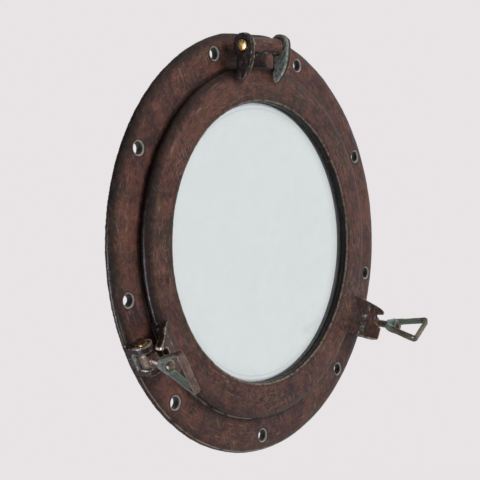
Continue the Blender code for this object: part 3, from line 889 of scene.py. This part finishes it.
def antique_casting(name, seed, edge_r, holes=False):
    """Brown lacquer brushed over a sand casting: mottled, scratched and worn on its edges, with painted shade
    on its rims and sides and painted highlight lines.
    """
    g = Graph(name)
    radius, along, depth = g.round_coords()
    x, y, z = g.split(g.mm)

    large = g.noise(0.020, 4.0, 0.6, seed, distortion=0.4)
    middle = g.noise(0.075, 5.0, 0.65, seed + 40)
    small = g.noise(0.30, 5.0, 0.68, seed + 80)
    grain = g.noise(1.1, 3.0, 0.7, seed + 120)

    base = g.mix(g.span(middle, 0.38, 0.62), UMBER, RUSSET)
    base = g.mix(g.times(g.span(large, 0.50, 0.62), 0.75), base, REDDISH)
    olive = g.span(g.noise(0.028, 4.0, 0.62, seed + 7), 0.54, 0.64)
    base = g.mix(g.times(olive, 0.65), base, OLIVE)
    purple = g.span(g.noise(0.045, 4.0, 0.68, seed + 19), 0.54, 0.66)
    base = g.mix(g.times(purple, 0.75), base, PURPLE)
    base = g.mix(g.span(small, 0.50, 0.72, 0.0, 0.62), base, TAN)
    speck = g.span(g.noise(0.75, 4.0, 0.72, seed + 150), 0.57, 0.68, 0.0, 0.5)
    base = g.mix(g.times(speck, g.span(large, 0.42, 0.6, 0.35, 1.0)), base, SCRATCH)
    base = g.mix(g.span(small, 0.30, 0.46, 0.75, 0.0), base, SOOT)
    base = g.mix(g.span(grain, 0.34, 0.50, 0.45, 0.0), base, SOOT)

    flat_to_front = g.math("ABSOLUTE", g.split(g.coords.outputs["Normal"])[1])
    patch_a = g.span(g.noise(0.04, 2.0, 0.5, seed + 3), 0.44, 0.58)
    patch_b = g.span(g.noise(0.035, 2.0, 0.5, seed + 61), 0.50, 0.60)
    tangential = g.streaks(radius, along, depth, 0.78, 0.085, seed + 5, 0.57, 0.70)
    hairline = g.streaks(radius, along, depth, 1.5, 0.12, seed + 25, 0.55, 0.68)
    tangential_dark = g.streaks(radius, along, depth, 0.34, 0.085, seed + 50, 0.54, 0.70)
    diagonal_u = g.add(g.times(x, 0.94), g.times(z, 0.34))
    diagonal_v = g.add(g.times(z, 0.94), g.times(x, -0.34))
    upright = g.streaks(diagonal_u, diagonal_v, depth, 0.85, 0.085, seed + 9, 0.56, 0.67)
    crossed = g.streaks(diagonal_v, diagonal_u, depth, 0.80, 0.10, seed + 13, 0.58, 0.69)
    scratches = g.most(
        g.times(tangential, g.add(0.22, g.times(patch_a, 0.78))),
        g.times(upright, patch_b),
        g.times(crossed, g.times(patch_b, 0.7)),
        g.times(hairline, 0.45),
    )
    scratches = g.times(scratches, g.span(flat_to_front, 0.35, 0.85, 0.3, 1.0))
    base = g.mix(g.times(tangential_dark, 0.42), base, SOOT)
    base = g.mix(g.times(scratches, 0.50), base, SCRATCH)

    # Painted shade: darker rims towards the upper left, steep sides, the groove at the ring's foot and the
    # sight bore's edge.
    upper_left_shade = g.span(g.add(g.times(x, -0.75), g.times(z, 0.65)), 0.0, 90.0, 0.45, 0.92)
    shade = g.times(g.span(radius, edge_r - 8.0, edge_r - 2.0), upper_left_shade)
    steep_shade = g.span(flat_to_front, 0.35, 0.85, 0.72, 0.0)
    groove = g.off(radius, RING_R)
    front = g.span(y, -4.0, -2.0, 1.0, 0.0)
    at_foot = g.span(y, -RING_EDGE_H - 1, -RING_EDGE_H + 2.6)
    groove_shade = g.times(g.span(groove, 0.6, 3.4, 0.85, 0.0), at_foot, front)
    inner = g.span(radius, SIGHT_R + 1.5, SIGHT_R + 6.0, 0.5, 0.0)
    painted_shade = g.times(g.most(shade, steep_shade, groove_shade, inner), g.span(small, 0.25, 0.65, 1.0, 0.72))
    painted_shade = g.most(painted_shade, g.span(radius, SIGHT_R + 0.5, SIGHT_R + 1.2, 0.97, 0.0))
    base = g.mix(painted_shade, base, RIM_SHADE)

    # Pale lines: on the outer edge a painted highlight as well as wear, at the ring's foot and round the bore
    # wear; the first two only low down.
    lower = g.times(g.span(z, -70.0, -15.0, 1.0, 0.0), g.span(middle, 0.36, 0.52))
    outer_highlight_and_wear = g.span(g.off(radius, edge_r - 1.3), 0.15, 0.6, 0.75, 0.0)
    outer_highlight_and_wear = g.times(outer_highlight_and_wear, g.span(y, -FLANGE_H - 0.9, -FLANGE_H - 0.3))
    foot_line = g.times(g.span(groove, 0.4, 1.1, 1.0, 0.0), g.times(g.span(y, -8.3, -7.7), front))
    bore_line = g.span(g.off(radius, SIGHT_R + 1.1), 0.35, 0.95, 1.0, 0.0)
    bore_line = g.times(bore_line, g.span(small, 0.36, 0.6, 0.05, 0.55))
    wear_and_highlight_lines = g.most(g.times(g.most(outer_highlight_and_wear, foot_line), lower), bore_line)
    base = g.mix(g.times(wear_and_highlight_lines, 0.7), base, WORN_AND_HIGHLIGHT)

    corner = g.attribute("corner")
    base = g.mix(g.times(g.span(corner, 0.05, 0.45), 0.92), base, CREVICE)

    feature = g.attribute("feature")
    edge = g.attribute("edge")
    worn_bias = g.add(g.times(feature, 0.30), g.times(g.noise(0.05, 2.0, 0.5, seed + 33), 0.7))
    worn = g.span(g.add(edge, g.times(feature, 0.11), g.around(small, 0.95)), 0.40, 0.72)
    worn = g.times(worn, g.span(worn_bias, 0.36, 0.56))
    base = g.mix(g.times(worn, 0.85), base, WORN_AND_HIGHLIGHT)

    if holes:
        away = g.add(g.hole_distance(), g.around(small, 1.3))
        on_front = g.span(y, -FLANGE_H + 0.8, -FLANGE_H + 1.6, 1.0, 0.0)
        ring = g.times(g.span(away, HOLE_R + 1.1, HOLE_R + 1.9, 1.0, 0.0), on_front)
        base = g.mix(g.times(ring, g.span(middle, 0.3, 0.5, 0.65, 0.95)), base, BARED)
        halo = g.span(away, HOLE_R + 1.8, HOLE_R + 3.6, 0.55, 0.0)
        base = g.mix(g.times(halo, g.math("SUBTRACT", 1.0, ring)), base, SOOT)
        worn = g.most(worn, g.times(ring, 0.7))

    green = g.attribute("verdigris")
    patches = g.around(g.noise(0.22, 5.0, 0.68, seed + 71), 1.7)
    crust = g.times(g.span(g.add(green, patches), 0.44, 0.78), g.span(green, 0.05, 0.3))
    pale = g.span(g.noise(0.5, 3.0, 0.6, seed + 91), 0.35, 0.65)
    base = g.mix(g.times(crust, 0.82), base, g.mix(pale, CRUST_DARK, CRUST_PALE))

    roughness = g.add(0.40, g.around(small, 0.5), g.times(crust, 0.25), g.times(scratches, -0.08))
    metallic = g.add(0.10, g.times(worn, 0.5))
    height = g.add(
        g.times(small, 0.6),
        g.times(grain, 0.28),
        g.times(middle, 0.8),
        g.times(scratches, -0.22),
        g.times(tangential_dark, -0.25),
    )
    return g.finish(base, g.most(roughness, 0.2), g.bump(height, 0.40), metallic, 0.22)


def drilled_metal(seed):
    """Metal bared by a drill or countersink: bright on its edge, with painted shade, dark grey, lower down.
    """
    g = Graph("drilled_metal")
    _, y, _ = g.split(g.mm)
    top = g.span(y, -FLANGE_H + 0.6, -FLANGE_H + 1.1, 1.0, 0.0)
    mottle = g.noise(0.7, 4.0, 0.6, seed)
    # Painted shade: below the bright bared top the hole's wall is dark grey.
    colour = g.mix(g.times(top, g.span(mottle, 0.3, 0.6, 0.75, 1.0)), HOLE_SHADE, BARED)
    ringed = g.noise(2.2, 2.0, 0.5, seed, g.join(0.0, g.times(y, 3.0), 0.0))
    normal = g.bump(g.add(ringed, g.times(mottle, 0.4)), 0.10, 0.6)
    return g.finish(colour, g.add(0.36, g.times(mottle, 0.25)), normal, g.times(top, 0.35))


def scaled(colour, factor):
    return tuple(factor * part for part in colour)


def patinated_brass(name, seed, brown, bare, green_share):
    """Brass under a brown patina, crusted green where the attribute says and bare on its edges."""
    g = Graph(name)
    small = g.noise(0.55, 4.0, 0.65, seed)
    fine = g.noise(2.6, 3.0, 0.65, seed + 30)
    middle = g.noise(0.16, 3.0, 0.6, seed + 60)
    base = g.mix(g.span(middle, 0.38, 0.62), scaled(brown, 0.55), brown)
    base = g.mix(g.span(small, 0.5, 0.75, 0.0, 0.5), base, scaled(brown, 1.7))
    base = g.mix(g.times(g.span(g.attribute("corner"), 0.1, 0.6), 0.85), base, OXIDE)
    green = g.attribute("verdigris")
    patches = g.around(g.noise(0.3, 5.0, 0.68, seed + 9), 1.3)
    crust = g.span(g.add(g.times(green, green_share), patches), 0.40, 0.72)
    thick = g.times(g.span(green, 0.62, 0.95, 0.25, 1.0), g.span(small, 0.3, 0.6, 0.55, 1.0))
    base = g.mix(g.times(crust, 0.9), base, g.mix(thick, BRASS_CRUST_DARK, BRASS_CRUST_PALE))
    worn = g.span(g.add(g.attribute("edge"), g.around(small, 0.8)), 0.42, 0.8)
    base = g.mix(g.times(worn, 0.75), base, bare)
    height = g.add(g.times(small, 0.7), g.times(fine, 0.35), g.times(crust, 0.5))
    normal = g.bump(height, 0.16, 0.9)
    roughness = g.add(0.38, g.times(crust, 0.3), g.around(fine, 0.25))
    metallic = g.add(g.times(worn, 0.45), g.times(g.math("SUBTRACT", 1.0, crust), 0.4))
    return g.finish(base, roughness, normal, metallic)


def turned_brass(name, seed, axis_at, axis, light, dark):
    """Brass turned on a lathe and tarnished, with fine rings across its ends."""
    g = Graph(name)
    tarnish = g.noise(0.5, 4.0, 0.6, seed)
    fine = g.noise(3.0, 3.0, 0.6, seed + 20)
    colour = g.mix(g.span(tarnish, 0.36, 0.62), dark, light)
    colour = g.mix(g.span(fine, 0.56, 0.74, 0.0, 0.55), colour, BRASS_FINE_DARK)
    offset = g.vector("SUBTRACT", g.mm, axis_at)
    along = g.vector("DOT_PRODUCT", offset, axis)
    across = g.vector("LENGTH", g.vector("SUBTRACT", offset, g.vector("SCALE", axis, scale=along)))
    rings = g.noise(2.6, 2.0, 0.5, seed + 4, g.join(across, g.times(along, 0.6), 0.0))
    normal = g.bump(g.add(rings, g.times(fine, 0.5)), 0.09, 0.8)
    return g.finish(colour, g.add(0.27, g.times(tarnish, 0.22)), normal, 0.9)


def plain_metal(name, seed, light, dark, roughness, metallic):
    g = Graph(name)
    stain = g.noise(0.35, 4.0, 0.62, seed)
    fine = g.noise(2.4, 3.0, 0.6, seed + 20)
    colour = g.mix(g.span(stain, 0.38, 0.62), dark, light)
    colour = g.mix(g.span(fine, 0.55, 0.75, 0.0, 0.4), colour, scaled(dark, 0.45))
    normal = g.bump(g.add(stain, g.times(fine, 0.6)), 0.08, 0.7)
    return g.finish(colour, g.add(roughness, g.around(fine, 0.3)), normal, metallic)


def rubber(seed):
    g = Graph("gasket_rubber")
    dust = g.noise(0.4, 4.0, 0.6, seed)
    fine = g.noise(2.0, 3.0, 0.65, seed + 10)
    colour = g.mix(g.span(dust, 0.45, 0.7, 0.0, 0.6), RUBBER, RUBBER_DUST)
    normal = g.bump(g.add(fine, g.times(dust, 0.6)), 0.08, 0.8)
    return g.finish(colour, g.add(0.6, g.times(dust, 0.25)), normal, 0.0)


def window_glass():
    """Clear plate glass, faintly green, with a thin film of dust that thickens near the edge, and painted
    shade darkening its tint at the edge.
    """
    g = Graph("window_glass")
    x, _, z = g.split(g.mm)
    radius = g.vector("LENGTH", g.join(x, 0.0, z))
    smear = g.noise(0.03, 4.0, 0.6, 5.0, distortion=0.8)
    specks = g.span(g.noise(0.8, 2.0, 0.5, 15.0), 0.70, 0.78)
    edge = g.span(g.add(radius, g.times(smear, 6.0)), 92.0, 106.0)
    # Painted shade darkens the tint towards the bore's edge, with a thin dark ring line just inside it.
    away = g.add(radius, g.times(g.noise(0.15, 2.0, 0.5, 25.0), 0.8))
    shade_and_line = g.times(g.span(g.off(away, 97.6), 0.15, 0.7, 1.0, 0.0), 0.2)
    shade_and_line = g.most(shade_and_line, g.span(away, 99.0, 101.8, 0.0, 0.9))
    shader = g.shader
    shader.inputs["Transmission Weight"].default_value = 1.0
    shader.inputs["IOR"].default_value = 1.46
    g.put(shader.inputs["Roughness"], g.add(0.012, g.times(smear, 0.03)))
    g.put(shader.inputs["Base Color"], g.mix(shade_and_line, g.mix(edge, GLASS, GLASS_EDGE), GLASS_SHADE))
    share = g.add(g.times(smear, 0.10), g.times(g.most(edge, specks), 0.06))
    film = g.node("BsdfDiffuse", DUST_FILM)
    blend = g.node("MixShader", share, shader.outputs[0], film.outputs[0])
    g.put(g.nodes["Material Output"].inputs["Surface"], blend.outputs[0])
    return g.owner


# Studio


def studio_floor():
    """A pale round floor well below the porthole, which fades out towards its rim."""
    bm = bmesh.new()
    bmesh.ops.create_circle(bm, cap_ends=True, segments=96, radius=FLOOR_R)
    floor = piece_from("studio_floor", bm)
    floor.location.z = FLOOR_Z
    g = Graph("studio_floor")
    g.put(g.shader.inputs["Base Color"], g.mix(g.noise(0.01, 3.0, 0.5), FLOOR_DARK, FLOOR_PALE))
    g.shader.inputs["Roughness"].default_value = 0.9
    x, y, _ = g.split(g.mm)
    fade = g.span(g.vector("LENGTH", g.join(x, y, 0.0)), *FLOOR_FADE, 1.0, 0.0)
    g.put(g.shader.inputs["Alpha"], fade)
    floor.data.materials.append(g.owner)


def soft_light(name, at, size, power, colour, target=(0, 0, 0), glossy=False):
    """An area light for either the matt shading or the highlights, and never seen itself."""
    light = bpy.data.lights.new(name, "AREA")
    light.shape = "RECTANGLE"
    light.size, light.size_y = size
    light.energy = power
    light.color = colour
    obj = new_object(name, light)
    obj.location = at
    obj.rotation_mode = "QUATERNION"
    obj.rotation_quaternion = (Vector(target) - Vector(at)).to_track_quat("-Z", "Y")
    obj.visible_camera = False
    obj.visible_transmission = False
    obj.visible_glossy = glossy
    obj.visible_diffuse = not glossy


def studio_light():
    """A pale backdrop for the camera, a dimmer fill with a dark side for the rest, and three lights."""
    world = bpy.data.worlds.new("studio")
    g = Graph("studio", world)
    seen = g.nodes["Background"]
    seen.inputs["Color"].default_value = BACKDROP
    towards = g.vector("DOT_PRODUCT", g.coords.outputs["Generated"], DARK_SIDE)
    fill = g.node("Background", FILL, g.node("MapRange", towards, *FILL_FALL).outputs["Result"])
    path = g.node("LightPath").outputs
    direct = g.most(path["Is Camera Ray"], path["Is Transmission Ray"])
    light = g.node("MixShader", direct, fill.outputs[0], seen.outputs[0])
    g.put(g.nodes["World Output"].inputs["Surface"], light.outputs[0])
    bpy.context.scene.world = world
    soft_light("key", (0.75, -1.15, 0.95), size=(0.8, 0.8), power=20.0, colour=(1.0, 0.965, 0.935))
    soft_light("back", (0.4, 1.3, 0.7), size=(1.2, 1.2), power=9.0, colour=(1.0, 0.98, 0.97))
    side_at, side_target = (-1.30, 0.14, -0.42), (0, 0, -0.02)
    soft_light("side", side_at, (0.40, 1.0), 42.0, (0.90, 0.86, 1.0), side_target, glossy=True)


def camera_at(azimuth, elevation, distance, target, roll, lens):
    """Looks at the target. Azimuth 0 looks along +Y, a negative one stands left, and roll is about Y."""
    a, e = math.radians(azimuth), math.radians(elevation)
    back = Vector((math.sin(a) * math.cos(e), -math.cos(a) * math.cos(e), math.sin(e)))
    data = bpy.data.cameras.new("camera")
    data.sensor_width = 36.0
    data.lens = lens
    data.clip_start, data.clip_end = 0.01, 50.0
    camera = new_object("camera", data)
    upright = (-back).to_track_quat("-Z", "Y").to_matrix().to_4x4()
    upright.translation = Vector(target) + back * distance
    camera.rotation_mode = "QUATERNION"
    camera.matrix_world = Matrix.Rotation(math.radians(roll), 4, "Y") @ upright
    bpy.context.scene.camera = camera


def make_glazing():
    gasket_rubber = rubber(3.0)
    make_glass(window_glass())
    make_gasket(gasket_rubber)
    make_retainer(plain_metal("blackened_metal", 6.0, (0.035, 0.038, 0.035), (0.018, 0.019, 0.018), 0.5, 0.4))
    make_retaining_screws(plain_metal("screw_steel", 4.0, (0.42, 0.41, 0.39), (0.20, 0.19, 0.17), 0.36, 1.0))
    make_seal(gasket_rubber)


def make_hinge():
    pin_at, pin_axis = (0.0, -HINGE_H, HINGE_Z), (1.0, 0.0, 0.0)
    brass = turned_brass("hinge_brass", 7.0, pin_at, pin_axis, (0.78, 0.60, 0.25), (0.36, 0.23, 0.07))
    half_length = EAR_X[1] + PIN_PROUD
    make_pin("pin_of_hinge", "hinge_pin", half_length, HINGE_PIN_R, hinge_rod_place, brass, PIN_SLOT_TURN)
    steel = plain_metal("washer_steel", 8.0, (0.30, 0.27, 0.23), (0.11, 0.085, 0.065), 0.42, 0.85)
    make_washer("left", -1, steel)
    make_washer("right", 1, steel)


def make_dogs():
    bolt = patinated_brass("bolt_patina", 5.0, (0.190, 0.128, 0.092), (0.55, 0.47, 0.33), 0.8)
    nuts = {
        "left": patinated_brass("nut_patina_left", 9.0, (0.200, 0.132, 0.108), (0.42, 0.36, 0.30), 1.0),
        "right": patinated_brass("nut_patina_right", 14.0, (0.165, 0.150, 0.100), (0.40, 0.40, 0.30), 0.93),
    }
    for number, side in enumerate(DOG_ANGLES):
        place = dog_pin_place(side)
        pin_at, pin_axis = place(0, 0, 0), dog_place(side)(0, 0, 1)
        light, dark = (0.50, 0.34, 0.12), (0.13, 0.07, 0.025)
        brass = turned_brass(f"dog_brass_{side}", 11.0 + number, pin_at, pin_axis, light, dark)
        half_length = FORK_T[1] + PIN_PROUD
        make_pin(f"pin_of_dog_{side}", f"dog_pin_{side}", half_length, DOG_PIN_R, place, brass)
        make_swing_bolt(side, bolt)
        make_wing_nut(side, nuts[side], 31 + 10 * number)


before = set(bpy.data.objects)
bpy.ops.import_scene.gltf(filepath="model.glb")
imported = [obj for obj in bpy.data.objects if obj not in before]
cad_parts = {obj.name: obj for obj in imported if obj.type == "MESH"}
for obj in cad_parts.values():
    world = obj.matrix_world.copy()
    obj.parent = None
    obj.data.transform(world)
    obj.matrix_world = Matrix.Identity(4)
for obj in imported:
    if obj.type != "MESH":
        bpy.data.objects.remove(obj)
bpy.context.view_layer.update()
bpy.context.scene.view_settings.view_transform = "Standard"
camera_at(azimuth=-50.65, elevation=0.15, distance=0.7917, target=(-0.018, 0.0, 0.0017), roll=6.0, lens=82.5)
studio_light()
studio_floor()

flange_finish = antique_casting("antique_flange", 3.0, FLANGE_R, holes=True)
make_flange_casting([flange_finish, drilled_metal(2.0)])
make_ring_casting(antique_casting("antique_ring", 17.0, RING_R))
make_glazing()
make_hinge()
make_dogs()
